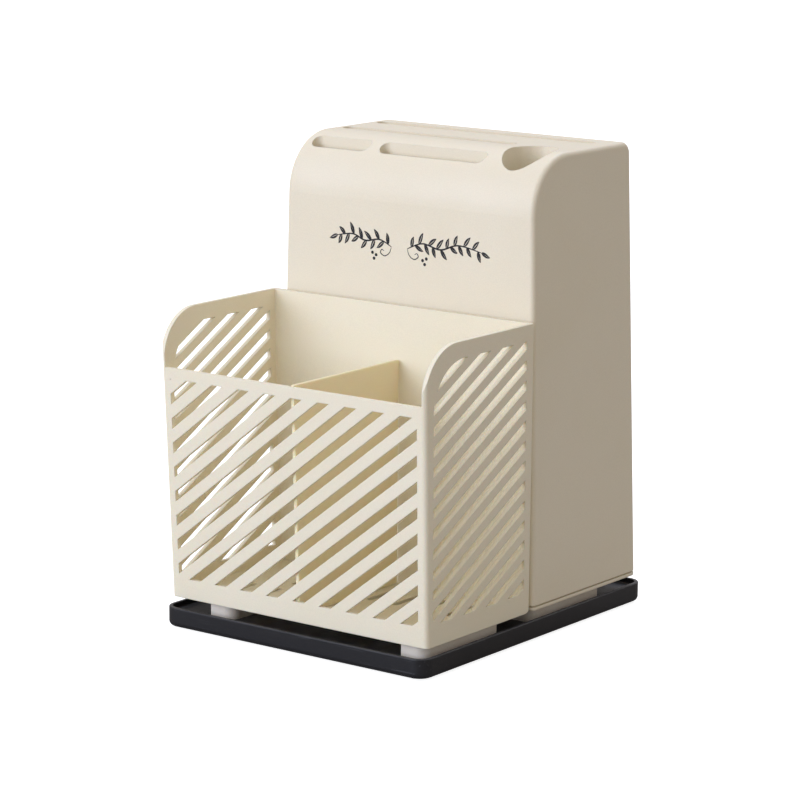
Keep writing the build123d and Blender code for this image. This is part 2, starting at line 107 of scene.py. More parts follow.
# ---------------------------------------------------------------- node helpers
class Graph:
    """Short-hand for adding and joining nodes in one node tree."""

    def __init__(self, tree: Tree) -> None:
        """Wraps a node tree."""
        self.tree = tree
        self.column = 0

    def add(self, kind: str, **settings: object) -> Node:
        """Adds a node.

        Args:
            kind: Blender's node type.
            **settings: Attributes to set on the node.

        Returns:
            The new node.
        """
        node = self.tree.nodes.new(kind)
        node.location = (self.column * 190, 0)
        self.column += 1
        for name, value in settings.items():
            setattr(node, name, value)
        return node

    def join(self, source: Socket, target: Socket) -> None:
        """Links a source socket to a target socket."""
        self.tree.links.new(source, target)

    def feed(self, socket: Socket, value: object) -> None:
        """Sets a socket's value, or links it if the value is a socket.

        Args:
            socket: Input to fill.
            value: Number, colour or source socket.
        """
        if isinstance(value, Socket):
            self.join(value, socket)
        elif isinstance(value, tuple) and len(value) == 3 and socket.type == "RGBA":
            socket.default_value = (*value, 1.0)
        else:
            socket.default_value = value

    def math(self, operation: str, *values: object, clamp: bool = False) -> Socket:
        """Adds a Math node.

        Args:
            operation: Blender's name of the operation.
            *values: Numbers or sockets for its inputs.
            clamp: Whether the result is kept between 0 and 1.

        Returns:
            The result socket.
        """
        node = self.add("ShaderNodeMath", operation=operation, use_clamp=clamp)
        for index, value in enumerate(values):
            self.feed(node.inputs[index], value)
        return node.outputs[0]

    def vector(self, operation: str, *values: object) -> Node:
        """Adds a Vector Math node.

        Args:
            operation: Blender's name of the operation.
            *values: Vectors or sockets for its inputs.

        Returns:
            The new node.
        """
        node = self.add("ShaderNodeVectorMath", operation=operation)
        for index, value in enumerate(values):
            self.feed(node.inputs[index], value)
        return node

    def span(
        self, value: object, low: float, high: float, to_low: float = 0.0, to_high: float = 1.0
    ) -> Socket:
        """Maps a value smoothly from one span to another.

        Args:
            value: Number or socket to map.
            low: Start of the span it comes from.
            high: End of the span it comes from.
            to_low: Result at the start.
            to_high: Result at the end.

        Returns:
            The mapped value's socket.
        """
        node = self.add("ShaderNodeMapRange", interpolation_type="SMOOTHSTEP")
        for index, number in enumerate((value, low, high, to_low, to_high)):
            self.feed(node.inputs[index], number)
        return node.outputs["Result"]

    def noise(self, place: object, scale: object, detail: float = 2.0, roughness: float = 0.5) -> Socket:
        """Adds fractal noise.

        Args:
            place: Where the noise is read.
            scale: Repeats in a metre.
            detail: Number of finer layers.
            roughness: Strength of the finer layers.

        Returns:
            The noise value's socket.
        """
        node = self.add("ShaderNodeTexNoise")
        self.feed(node.inputs["Vector"], place)
        self.feed(node.inputs["Scale"], scale)
        self.feed(node.inputs["Detail"], detail)
        self.feed(node.inputs["Roughness"], roughness)
        return node.outputs["Fac"]

    def bump(self, height: Socket, depth: float, normal: Socket | None = None) -> Socket:
        """Raises the surface by a height.

        Args:
            height: Height, 0 to 1.
            depth: Depth of a full height, in metres.
            normal: Normal to start from, or None for the surface's own.

        Returns:
            The bumped normal's socket.
        """
        node = self.add("ShaderNodeBump")
        node.inputs["Distance"].default_value = depth
        self.join(height, node.inputs["Height"])
        if normal is not None:
            self.join(normal, node.inputs["Normal"])
        return node.outputs["Normal"]


def mix_colours(graph: Graph, factor: object, first: object, second: object) -> Socket:
    """Mixes two colours.

    Args:
        graph: Graph to add the node to.
        factor: Share of the second colour.
        first: First colour or socket.
        second: Second colour or socket.

    Returns:
        The mixed colour's socket.
    """
    node = graph.add("ShaderNodeMix", data_type="RGBA", blend_type="MIX", clamp_factor=True)
    colour_in = {socket.name: socket for socket in node.inputs if socket.type == "RGBA"}
    graph.feed(node.inputs[0], factor)
    graph.feed(colour_in["A"], first)
    graph.feed(colour_in["B"], second)
    return [socket for socket in node.outputs if socket.type == "RGBA"][0]


# ------------------------------------------------------------- shared effects
class EffectLibrary:
    """Builds the shared node groups once and places them in materials."""

    def __init__(self) -> None:
        """Builds every group."""
        self.groups = {
            Effect.GRAIN: self._grain(),
            Effect.DRIFT: self._drift(),
            Effect.EDGES: self._edges(),
            Effect.DUST: self._dust(),
            Effect.SCUFFS: self._scuffs(),
            Effect.RINGS: self._rings(),
        }

    @staticmethod
    def _start(
        effect: Effect, inputs: dict[str, tuple[str, object]], outputs: dict[str, str]
    ) -> tuple[Tree, Graph, Node, Node]:
        """Makes an empty group with its sockets.

        Args:
            effect: Which effect the group is.
            inputs: Socket type and default value of each input, by name.
            outputs: Socket type of each output, by name.

        Returns:
            The tree, its graph, and its input and output nodes.
        """
        tree = bpy.data.node_groups.new(effect.value, "ShaderNodeTree")
        for name, (kind, value) in inputs.items():
            socket = tree.interface.new_socket(name, in_out="INPUT", socket_type=kind)
            socket.default_value = (*value, 1.0) if isinstance(value, tuple) else value
        for name, kind in outputs.items():
            tree.interface.new_socket(name, in_out="OUTPUT", socket_type=kind)
        graph = Graph(tree)
        return tree, graph, graph.add("NodeGroupInput"), graph.add("NodeGroupOutput")

    def _grain(self) -> Tree:
        """Fine spark-eroded mould texture, as a height.

        Returns:
            The group.
        """
        tree, graph, given, result = self._start(
            Effect.GRAIN,
            {"Pitch": ("NodeSocketFloat", 0.0004)},
            {"Height": "NodeSocketFloat"},
        )
        place = graph.add("ShaderNodeTexCoord").outputs["Object"]
        scale = graph.math("DIVIDE", 1.0, given.outputs["Pitch"])
        fine = graph.noise(place, scale, 2.0, 0.6)
        cells = graph.add("ShaderNodeTexVoronoi", feature="SMOOTH_F1")
        graph.feed(cells.inputs["Vector"], place)
        graph.feed(cells.inputs["Scale"], graph.math("MULTIPLY", scale, 0.62))
        both = graph.math("MULTIPLY_ADD", cells.outputs["Distance"], 0.45, graph.math("MULTIPLY", fine, 0.55))
        graph.join(both, result.inputs["Height"])
        return tree

    def _drift(self) -> Tree:
        """Slow change of tone, with a faint pigment speckle.

        Returns:
            The group.
        """
        tree, graph, given, result = self._start(
            Effect.DRIFT,
            {
                "Tone": ("NodeSocketColor", (0.8, 0.8, 0.8)),
                "Other Tone": ("NodeSocketColor", (0.7, 0.7, 0.7)),
                "Patch": ("NodeSocketFloat", 0.05),
                "Speckle": ("NodeSocketFloat", 0.05),
            },
            {"Color": "NodeSocketColor", "Patches": "NodeSocketFloat"},
        )
        place = graph.add("ShaderNodeTexCoord").outputs["Object"]
        scale = graph.math("DIVIDE", 1.0, given.outputs["Patch"])
        slow = graph.span(graph.noise(place, scale, 3.0, 0.55), 0.32, 0.68)
        tone = mix_colours(graph, slow, given.outputs["Tone"], given.outputs["Other Tone"])
        speck = graph.span(graph.noise(place, 1900.0, 1.0, 0.5), 0.3, 0.7, -1.0, 1.0)
        lift = graph.math("MULTIPLY_ADD", speck, given.outputs["Speckle"], 1.0)
        shaded = graph.vector("SCALE", tone)
        graph.feed(shaded.inputs["Scale"], lift)
        graph.join(shaded.outputs[0], result.inputs["Color"])
        graph.join(slow, result.inputs["Patches"])
        return tree

    def _edges(self) -> Tree:
        """Softened edges: a rounded normal, and a mask along the edge.

        Returns:
            The group.
        """
        tree, graph, given, result = self._start(
            Effect.EDGES,
            {"Radius": ("NodeSocketFloat", 0.0005)},
            {"Normal": "NodeSocketVector", "Mask": "NodeSocketFloat"},
        )
        bevel = graph.add("ShaderNodeBevel", samples=4)
        graph.feed(bevel.inputs["Radius"], given.outputs["Radius"])
        true_normal = graph.add("ShaderNodeNewGeometry").outputs["Normal"]
        turned = graph.vector("DOT_PRODUCT", bevel.outputs["Normal"], true_normal).outputs["Value"]
        mask = graph.span(graph.math("SUBTRACT", 1.0, turned), 0.01, 0.25)
        graph.join(bevel.outputs["Normal"], result.inputs["Normal"])
        graph.join(mask, result.inputs["Mask"])
        return tree

    def _dust(self) -> Tree:
        """Light dust that settles on faces that look up.

        Returns:
            The group.
        """
        tree, graph, given, result = self._start(
            Effect.DUST,
            {
                "Color": ("NodeSocketColor", (0.5, 0.5, 0.5)),
                "Dust": ("NodeSocketColor", (0.55, 0.53, 0.5)),
                "Amount": ("NodeSocketFloat", 0.1),
            },
            {"Color": "NodeSocketColor", "Mask": "NodeSocketFloat"},
        )
        place = graph.add("ShaderNodeTexCoord").outputs["Object"]
        split = graph.add("ShaderNodeSeparateXYZ")
        graph.join(graph.add("ShaderNodeNewGeometry").outputs["Normal"], split.inputs[0])
        upward = graph.span(split.outputs["Z"], 0.5, 0.98)
        cloud = graph.span(graph.noise(place, 90.0, 4.0, 0.65), 0.35, 0.75)
        specks = graph.span(graph.noise(place, 1500.0, 2.0, 0.7), 0.52, 0.72)
        cover = graph.math("MULTIPLY_ADD", specks, 0.6, graph.math("MULTIPLY", cloud, 0.4))
        mask = graph.math("MULTIPLY", graph.math("MULTIPLY", cover, upward), given.outputs["Amount"], clamp=True)
        graph.join(mix_colours(graph, mask, given.outputs["Color"], given.outputs["Dust"]), result.inputs["Color"])
        graph.join(mask, result.inputs["Mask"])
        return tree

    def _scuffs(self) -> Tree:
        """Sparse hair-fine scuffs in two directions.

        Returns:
            The group.
        """
        tree, graph, given, result = self._start(
            Effect.SCUFFS,
            {"Density": ("NodeSocketFloat", 0.5)},
            {"Mask": "NodeSocketFloat"},
        )
        place = graph.add("ShaderNodeTexCoord").outputs["Object"]
        masks = []
        for turn, stretch in ((0.5, (22.0, 900.0, 900.0)), (-0.9, (26.0, 1100.0, 1100.0))):
            mapping = graph.add("ShaderNodeMapping")
            graph.join(place, mapping.inputs["Vector"])
            mapping.inputs["Rotation"].default_value = (turn * 0.6, turn, turn * 1.7)
            mapping.inputs["Scale"].default_value = stretch
            masks.append(graph.span(graph.noise(mapping.outputs[0], 1.0, 1.0, 0.4), 0.69, 0.73))
        both = graph.math("MAXIMUM", masks[0], masks[1])
        where = graph.span(graph.noise(place, 28.0, 2.0, 0.5), 0.45, 0.62)
        worn = graph.math("MULTIPLY", graph.math("MULTIPLY", both, where), given.outputs["Density"], clamp=True)
        graph.join(worn, result.inputs["Mask"])
        return tree

    def _rings(self) -> Tree:
        """Concentric tool marks of a turned or stamped steel disc.

        Returns:
            The group.
        """
        tree, graph, given, result = self._start(
            Effect.RINGS,
            {"Pitch": ("NodeSocketFloat", 0.00025)},
            {"Height": "NodeSocketFloat"},
        )
        split = graph.add("ShaderNodeSeparateXYZ")
        graph.join(graph.add("ShaderNodeTexCoord").outputs["Object"], split.inputs[0])
        flat = graph.add("ShaderNodeCombineXYZ")
        graph.join(split.outputs["X"], flat.inputs["X"])
        graph.join(split.outputs["Y"], flat.inputs["Y"])
        radius = graph.vector("LENGTH", flat.outputs[0]).outputs["Value"]
        stretched = graph.math("DIVIDE", radius, given.outputs["Pitch"])
        line = graph.add("ShaderNodeTexNoise", noise_dimensions="1D")
        graph.feed(line.inputs["W"], stretched)
        graph.feed(line.inputs["Scale"], 1.0)
        graph.feed(line.inputs["Detail"], 3.0)
        graph.join(line.outputs["Fac"], result.inputs["Height"])
        return tree

    def place(self, graph: Graph, effect: Effect, **values: object) -> Node:
        """Puts an effect in a material.

        Args:
            graph: The material's graph.
            effect: Which effect.
            **values: Input values or sockets, by name with _ for a space.

        Returns:
            The group node.
        """
        node = graph.add("ShaderNodeGroup", node_tree=self.groups[effect])
        for name, value in values.items():
            graph.feed(node.inputs[name.replace("_", " ")], value)
        return node


def new_surface(name: str) -> tuple[Material, Graph, Node]:
    """Makes an empty material with a Principled surface.

    Args:
        name: Name of the finish.

    Returns:
        The material, its graph and its Principled node.
    """
    material = bpy.data.materials.new(name)
    material.use_nodes = True
    material.node_tree.nodes.clear()
    graph = Graph(material.node_tree)
    surface = graph.add("ShaderNodeBsdfPrincipled")
    output = graph.add("ShaderNodeOutputMaterial")
    graph.join(surface.outputs[0], output.inputs["Surface"])
    return material, graph, surface


# -------------------------------------------------------------------- finishes
PATCH_DULLING = 0.06
EDGE_POLISH = -0.08
SCUFF_DULLING = 0.22
SCUFF_PALING = 0.12
DUST_DULLING = 0.3


@dataclass(frozen=True)
class MouldedPlastic:
    """Injection-moulded plastic with a fine mould texture and a painted highlight along its edges."""

    name: str
    tone: Colour
    other_tone: Colour
    roughness: float
    grain_pitch: float
    grain_depth: float
    edge_radius: float = 0.0006
    # Edge tone: painted highlight colour laid along the edges; scuffs also pale toward it.
    edge_highlight_and_scuff_tone: Colour = (1.0, 1.0, 1.0)
    edge_highlight_share: float = 0.2
    dust: float = 0.0
    scuffs: float = 0.0
    speckle: float = 0.02
    patch: float = 0.06
    translucency: float = 0.0
    glow_reach: Colour = (1.0, 0.62, 0.36)
    glow_depth: float = 0.0016
    ior: float = 1.46

    def material(self, effects: EffectLibrary) -> Material:
        """Builds the material.

        Args:
            effects: Shared node groups.

        Returns:
            The finished material.
        """
        material, graph, surface = new_surface(self.name)
        drift = effects.place(
            graph, Effect.DRIFT, Tone=self.tone, Other_Tone=self.other_tone, Patch=self.patch, Speckle=self.speckle
        )
        edges = effects.place(graph, Effect.EDGES, Radius=self.edge_radius)
        # Painted highlight: the colour along the edges is mixed toward the pale edge tone.
        edge_highlight_share = graph.math("MULTIPLY", edges.outputs["Mask"], self.edge_highlight_share)
        colour = mix_colours(graph, edge_highlight_share, drift.outputs["Color"], self.edge_highlight_and_scuff_tone)
        shine = graph.math("MULTIPLY_ADD", drift.outputs["Patches"], PATCH_DULLING, self.roughness)
        shine = graph.math("MULTIPLY_ADD", edges.outputs["Mask"], EDGE_POLISH, shine)
        if self.scuffs:
            scuffs = effects.place(graph, Effect.SCUFFS, Density=self.scuffs)
            shine = graph.math("MULTIPLY_ADD", scuffs.outputs["Mask"], SCUFF_DULLING, shine)
            pale = graph.math("MULTIPLY", scuffs.outputs["Mask"], SCUFF_PALING)
            colour = mix_colours(graph, pale, colour, self.edge_highlight_and_scuff_tone)
        if self.dust:
            dust = effects.place(graph, Effect.DUST, Color=colour, Amount=self.dust)
            colour = dust.outputs["Color"]
            shine = graph.math("MULTIPLY_ADD", dust.outputs["Mask"], DUST_DULLING, shine)
        grain = effects.place(graph, Effect.GRAIN, Pitch=self.grain_pitch)
        normal = graph.bump(grain.outputs["Height"], self.grain_depth, edges.outputs["Normal"])
        graph.join(normal, surface.inputs["Normal"])
        graph.join(colour, surface.inputs["Base Color"])
        graph.join(shine, surface.inputs["Roughness"])
        surface.inputs["IOR"].default_value = self.ior
        if self.translucency:
            surface.inputs["Subsurface Weight"].default_value = self.translucency
            surface.inputs["Subsurface Radius"].default_value = self.glow_reach
            surface.inputs["Subsurface Scale"].default_value = self.glow_depth
        return material


@dataclass(frozen=True)
class PlatedSteel:
    """Zinc-plated or polished steel with tool marks."""

    name: str
    tone: Colour
    other_tone: Colour
    roughness: float
    ring_pitch: float = 0.00025
    ring_depth: float = 0.000004

    def material(self, effects: EffectLibrary) -> Material:
        """Builds the material.

        Args:
            effects: Shared node groups.

        Returns:
            The finished material.
        """
        material, graph, surface = new_surface(self.name)
        drift = effects.place(
            graph, Effect.DRIFT, Tone=self.tone, Other_Tone=self.other_tone, Patch=0.012, Speckle=0.03
        )
        rings = effects.place(graph, Effect.RINGS, Pitch=self.ring_pitch)
        scuffs = effects.place(graph, Effect.SCUFFS, Density=0.7)
        edges = effects.place(graph, Effect.EDGES, Radius=0.0002)
        shine = graph.math("MULTIPLY_ADD", rings.outputs["Height"], 0.14, self.roughness)
        shine = graph.math("MULTIPLY_ADD", scuffs.outputs["Mask"], 0.15, shine)
        normal = graph.bump(rings.outputs["Height"], self.ring_depth, edges.outputs["Normal"])
        graph.join(normal, surface.inputs["Normal"])
        graph.join(drift.outputs["Color"], surface.inputs["Base Color"])
        graph.join(shine, surface.inputs["Roughness"])
        surface.inputs["Metallic"].default_value = 1.0
        return material


@dataclass(frozen=True)
class PadRubber:
    """Soft moulded rubber with a dull, dusty surface."""

    name: str
    tone: Colour
    other_tone: Colour
    grain_depth: float = 0.00004

    def material(self, effects: EffectLibrary) -> Material:
        """Builds the material.

        Args:
            effects: Shared node groups.

        Returns:
            The finished material.
        """
        material, graph, surface = new_surface(self.name)
        drift = effects.place(
            graph, Effect.DRIFT, Tone=self.tone, Other_Tone=self.other_tone, Patch=0.006, Speckle=0.12
        )
        dust = effects.place(graph, Effect.DUST, Color=drift.outputs["Color"], Amount=0.25)
        grain = effects.place(graph, Effect.GRAIN, Pitch=0.00035)
        normal = graph.bump(grain.outputs["Height"], self.grain_depth)
        graph.join(normal, surface.inputs["Normal"])
        graph.join(dust.outputs["Color"], surface.inputs["Base Color"])
        shine = graph.math("MULTIPLY_ADD", grain.outputs["Height"], 0.12, 0.72)
        graph.join(shine, surface.inputs["Roughness"])
        return material


@dataclass(frozen=True)
class PrintedInk:
    """Pad-printed ink that lies on the plastic."""

    name: str
    tone: Colour
    other_tone: Colour
    grain_depth: float = 0.00001

    def material(self, effects: EffectLibrary) -> Material:
        """Builds the material.

        Args:
            effects: Shared node groups.

        Returns:
            The finished material.
        """
        material, graph, surface = new_surface(self.name)
        drift = effects.place(
            graph, Effect.DRIFT, Tone=self.tone, Other_Tone=self.other_tone, Patch=0.0012, Speckle=0.25
        )
        grain = effects.place(graph, Effect.GRAIN, Pitch=0.0004)
        normal = graph.bump(grain.outputs["Height"], self.grain_depth)
        graph.join(normal, surface.inputs["Normal"])
        graph.join(drift.outputs["Color"], surface.inputs["Base Color"])
        graph.join(graph.math("MULTIPLY_ADD", drift.outputs["Patches"], 0.1, 0.34), surface.inputs["Roughness"])
        return material


Finish = MouldedPlastic | PlatedSteel | PadRubber | PrintedInk

# The edge tones in these finishes are painted highlight colours laid along edges; scuffs also pale toward them.
CREAM_SATIN = MouldedPlastic(
    "cream_satin_plastic", (0.88, 0.80, 0.62), (0.865, 0.782, 0.595), roughness=0.4, grain_pitch=0.00045,
    grain_depth=0.000014, edge_highlight_and_scuff_tone=linear(244, 240, 231), edge_highlight_share=0.25, dust=0.03, scuffs=0.35, translucency=0.12,
)
# Same cream as the tower, painted brighter and warmer as a stand-in for bounce light glowing in the basket's shaded
# walls; the subsurface share is real translucency.
CREAM_BASKET_PAINTED_GLOW = replace(
    CREAM_SATIN, name="cream_basket_painted_glow", tone=(0.925, 0.855, 0.662), other_tone=(0.91, 0.838, 0.637),
    translucency=0.2,
)
# Same cream as the tower, painted a deeper, warmer yellow as a stand-in for warm bounce light on the divider's shaded
# face; the subsurface share is real translucency.
CREAM_DIVIDER_PAINTED_GLOW = replace(
    CREAM_SATIN, name="cream_divider_painted_glow", tone=(0.98, 0.855, 0.575), other_tone=(0.965, 0.835, 0.555),
    roughness=0.42, edge_highlight_share=0.2, translucency=0.6,
)
CREAM_FOOT = MouldedPlastic(
    "cream_foot_plastic", linear(229, 221, 206), linear(224, 214, 197), roughness=0.46, grain_pitch=0.0004,
    grain_depth=0.00002, edge_highlight_and_scuff_tone=linear(240, 236, 226), scuffs=0.6, translucency=0.1, patch=0.02,
)
CREAM_RACK = MouldedPlastic(
    "cream_rack_plastic", linear(222, 213, 196), linear(216, 205, 186), roughness=0.52, grain_pitch=0.0005,
    grain_depth=0.000025, edge_highlight_and_scuff_tone=linear(232, 226, 214), scuffs=0.8, dust=0.05, translucency=0.1,
)
# The tray's pale edge tone and wide edge share paint a highlight line along its rim.
BLACK_TRAY = MouldedPlastic(
    "black_tray_plastic", linear(31, 31, 34), linear(26, 26, 29), roughness=0.38, grain_pitch=0.0005,
    grain_depth=0.00003, edge_radius=0.0008, edge_highlight_and_scuff_tone=linear(150, 150, 153), edge_highlight_share=0.6, dust=0.2,
    scuffs=0.8, speckle=0.12, patch=0.03,
)
BLACK_DISC = MouldedPlastic(
    "black_disc_plastic", linear(42, 42, 43), linear(34, 34, 35), roughness=0.5, grain_pitch=0.0006,
    grain_depth=0.00004, edge_highlight_and_scuff_tone=linear(90, 90, 92), scuffs=0.7, dust=0.15, speckle=0.15, patch=0.02,
)
NATURAL_ACETAL = MouldedPlastic(
    "natural_acetal", linear(224, 222, 212), linear(214, 210, 196), roughness=0.36, grain_pitch=0.0003,
    grain_depth=0.00001, edge_highlight_and_scuff_tone=linear(238, 237, 230), translucency=0.15, patch=0.01,
)
ZINC_STEEL = PlatedSteel("zinc_plated_steel", linear(192, 193, 190), linear(178, 178, 172), roughness=0.26)
POLISHED_STEEL = PlatedSteel(
    "polished_ball_steel", linear(214, 214, 214), linear(206, 206, 207), roughness=0.08, ring_depth=0.0000005
)
SCREW_STEEL = PlatedSteel("zinc_screw_steel", linear(186, 188, 186), linear(168, 170, 166), roughness=0.3)
PAD = PadRubber("black_pad_rubber", linear(44, 44, 44), linear(34, 34, 34))
BLACK_INK = PrintedInk("black_print_ink", linear(24, 24, 25), linear(34, 34, 35))


class Wardrobe:
    """Makes each finish once and puts it on pieces."""

    def __init__(self) -> None:
        """Builds the shared effects."""
        self.effects = EffectLibrary()
        self.made: dict[str, Material] = {}

    def get(self, finish: Finish) -> Material:
        """Looks up a finish's material, and builds it on first use.

        Args:
            finish: Which finish.

        Returns:
            Its material.
        """
        if finish.name not in self.made:
            self.made[finish.name] = finish.material(self.effects)
        return self.made[finish.name]

    def dress(self, node: str, finish: Finish) -> None:
        """Puts a finish on a CAD piece.

        Args:
            node: Name of the piece in the frame.
            finish: Finish for all its material slots.
        """
        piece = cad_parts[node]
        for slot in piece.material_slots:
            slot.material = self.get(finish)
        LOG.info("dressed %s in %s", node, finish.name)


# ----------------------------------------------------------------- mesh pieces
def curve_points(anchors: list[Point2], steps: int) -> list[Point2]:
    """Runs a smooth line through anchor points.

    Args:
        anchors: Points the line passes through.
        steps: Points made between two anchors.

    Returns:
        Points along the line.
    """
    padded = [anchors[0], *anchors, anchors[-1]]
    out = []
    for index in range(len(anchors) - 1):
        p0, p1, p2, p3 = (Vector(p) for p in padded[index:index + 4])
        for step in range(steps):
            t = step / steps
            point = 0.5 * (
                2 * p1 + (p2 - p0) * t + (2 * p0 - 5 * p1 + 4 * p2 - p3) * t ** 2
                + (3 * p1 - p0 - 3 * p2 + p3) * t ** 3
            )
            out.append((point.x, point.y))
    out.append(anchors[-1])
    return out


@dataclass
class PrintedSprig:
    """Pair of leafy sprigs printed in black across the tower's front."""

    left_stem: list[Point2] = field(default_factory=lambda: [
        (-9.5, 190.5), (-17.0, 193.5), (-26.0, 192.2), (-34.0, 194.8), (-43.5, 193.4),
    ])
    right_stem: list[Point2] = field(default_factory=lambda: [
        (0.5, 190.5), (10.0, 194.0), (21.0, 192.0), (32.0, 195.2), (46.0, 193.0),
    ])
    tendril: list[Point2] = field(default_factory=lambda: [
        (0.0, 0.0), (1.2, -3.2), (4.2, -5.0), (6.8, -3.6), (6.0, -1.9), (4.6, -2.6),
    ])
    berries: list[Point2] = field(default_factory=lambda: [(9.6, -5.0), (11.9, -4.0), (10.9, -6.9)])
    stem_width: float = 0.85
    stem_taper: float = 0.35
    tendril_share: float = 0.62
    tendril_taper: float = 0.3
    stroke_steps: int = 9
    leaf_length: float = 6.4
    leaf_width: float = 2.5
    leaf_step: float = 5.6
    first_leaf: float = 3.0
    leaf_lean: Point2 = (38.0, 50.0)
    leaf_spread: Point2 = (0.82, 1.05)
    leaf_curl: float = 0.9
    leaf_points: int = 10
    thin_side: float = 0.8
    midrib_half: float = 0.14
    least_blade: float = 0.02
    berry_radius: float = 0.85
    berry_points: int = 20
    dice_seed: int = 11
    front_low: Point2 = (-4.0, 18.2)
    front_high: Point2 = (-3.4, 242.7)
    ink_height: float = 0.05

    def _on_face(self, x: float, z: float) -> Vector:
        """Puts a drawn point on the tower's front face.

        Args:
            x: Place across the tower, in millimetres.
            z: Height, in millimetres.

        Returns:
            The point, in metres.
        """
        share = (z - self.front_low[1]) / (self.front_high[1] - self.front_low[1])
        y = self.front_low[0] + (self.front_high[0] - self.front_low[0]) * share
        return Vector((x, y - self.ink_height, z)) * MM

    def _fill(self, mesh: bmesh.types.BMesh, outline: list[Point2]) -> None:
        """Adds a filled outline to the mesh."""
        verts = [mesh.verts.new(self._on_face(x, z)) for x, z in outline]
        mesh.faces.new(verts)

    def _stroke(
        self, mesh: bmesh.types.BMesh, anchors: list[Point2], width: float, taper: float
    ) -> list[Point2]:
        """Adds a pen stroke whose width swells in the middle.

        Args:
            mesh: Mesh to add to.
            anchors: Points of the stroke, in millimetres.
            width: Widest width, in millimetres.
            taper: Share of the width left at the ends.

        Returns:
            The points of the stroke's centre line.
        """
        line = curve_points(anchors, self.stroke_steps)
        rails = []
        for index, point in enumerate(line):
            before = Vector(line[max(index - 1, 0)])
            after = Vector(line[min(index + 1, len(line) - 1)])
            along = (after - before).normalized()
            across = Vector((-along.y, along.x))
            share = index / (len(line) - 1)
            half = 0.5 * width * (taper + (1 - taper) * math.sin(math.pi * share) ** 0.6)
            centre = Vector(point)
            rails.append((centre + across * half, centre - across * half))
        verts = [(mesh.verts.new(self._on_face(*a)), mesh.verts.new(self._on_face(*b))) for a, b in rails]
        for (a0, b0), (a1, b1) in zip(verts, verts[1:]):
            mesh.faces.new((a0, a1, b1, b0))
        return line

    def _leaf(self, mesh: bmesh.types.BMesh, base: Vector, heading: float, length: float, side: Side) -> None:
        """Adds a pointed leaf split by a pale midrib.

        Args:
            mesh: Mesh to add to.
            base: Where the leaf meets the stem.
            heading: Direction of the leaf, in radians.
            length: Length in millimetres.
            side: Which way the leaf curls.
        """
        along = Vector((math.cos(heading), math.sin(heading)))
        across = Vector((-along.y, along.x))
        count = self.leaf_points
        for half in (-1, 1):
            inner, outer = [], []
            for index in range(count + 1):
                share = index / count
                bend = side.value * self.leaf_curl * math.sin(math.pi * share * 0.5) ** 2
                belly = self.leaf_width * 0.5 * math.sin(math.pi * share ** 0.8) ** 0.85
                belly *= 1.0 if half * side.value > 0 else self.thin_side
                middle = base + along * (length * share) + across * bend
                gap = self.midrib_half * math.sin(math.pi * min(share * 1.15, 1.0))
                inner.append(middle + across * (half * gap))
                outer.append(middle + across * (half * max(belly, gap + self.least_blade)))
            ring = [tuple(p) for p in inner] + [tuple(p) for p in reversed(outer)]
            self._fill(mesh, ring[:count] + ring[count + 1:-1] + [ring[-1]])

    def _berry(self, mesh: bmesh.types.BMesh, centre: Vector, radius: float) -> None:
        """Adds a round berry.

        Args:
            mesh: Mesh to add to.
            centre: Middle of the berry.
            radius: Radius in millimetres.
        """
        ring = []
        for index in range(self.berry_points):
            angle = 2 * math.pi * index / self.berry_points
            ring.append((centre.x + radius * math.cos(angle), centre.y + radius * math.sin(angle)))
        self._fill(mesh, ring)

    def _sprig(self, mesh: bmesh.types.BMesh, stem: list[Point2], dice: random.Random) -> None:
        """Draws one sprig: a stem, alternating leaves, a tendril and berries.

        Args:
            mesh: Mesh to add to.
            stem: Points of the stem from its root, in millimetres.
            dice: Source of the leaves' small differences.
        """
        line = self._stroke(mesh, stem, self.stem_width, self.stem_taper)
        travelled, next_leaf, upper = 0.0, self.first_leaf, True
        for first, second in zip(line, line[1:]):
            step = Vector(second) - Vector(first)
            travelled += step.length
            if travelled < next_leaf:
                continue
            next_leaf += self.leaf_step * 0.5
            heading = math.atan2(step.y, step.x)
            lean = math.radians(dice.uniform(*self.leaf_lean)) * (1 if upper else -1)
            if step.x < 0:
                lean = -lean
            length = self.leaf_length * dice.uniform(*self.leaf_spread)
            self._leaf(mesh, Vector(first), heading + lean, length, Side.RIGHT if lean > 0 else Side.LEFT)
            upper = not upper
        end, before = Vector(line[-1]), Vector(line[-4])
        heading = math.atan2(end.y - before.y, end.x - before.x)
        self._leaf(mesh, end, heading, self.leaf_length * 0.9, Side.LEFT if end.x > 0 else Side.RIGHT)
        way = 1 if end.x > 0 else -1
        start = Vector(line[0])
        curl = [(start.x + way * reach, start.y + rise) for reach, rise in self.tendril]
        self._stroke(mesh, curl, self.stem_width * self.tendril_share, self.tendril_taper)
        for reach, rise in self.berries:
            self._berry(mesh, Vector((start.x + way * reach, start.y + rise)), self.berry_radius)

    def build(self, wardrobe: Wardrobe) -> bpy.types.Object:
        """Builds the print and puts it on the tower.

        Args:
            wardrobe: Maker of finishes.

        Returns:
            The printed object.
        """
        dice = random.Random(self.dice_seed)
        mesh = bmesh.new()
        self._sprig(mesh, self.left_stem, dice)
        self._sprig(mesh, self.right_stem, dice)
        bmesh.ops.triangulate(mesh, faces=mesh.faces[:])
        for face in mesh.faces:
            if face.normal.y > 0:
                face.normal_flip()
        data = bpy.data.meshes.new("printed_sprig")
        mesh.to_mesh(data)
        mesh.free()
        piece = bpy.data.objects.new("printed_sprig", data)
        bpy.context.scene.collection.objects.link(piece)
        data.materials.append(wardrobe.get(BLACK_INK))
        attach(piece, Unit.TOWER.value)
        LOG.info("built printed_sprig with %d faces", len(data.polygons))
        return piece


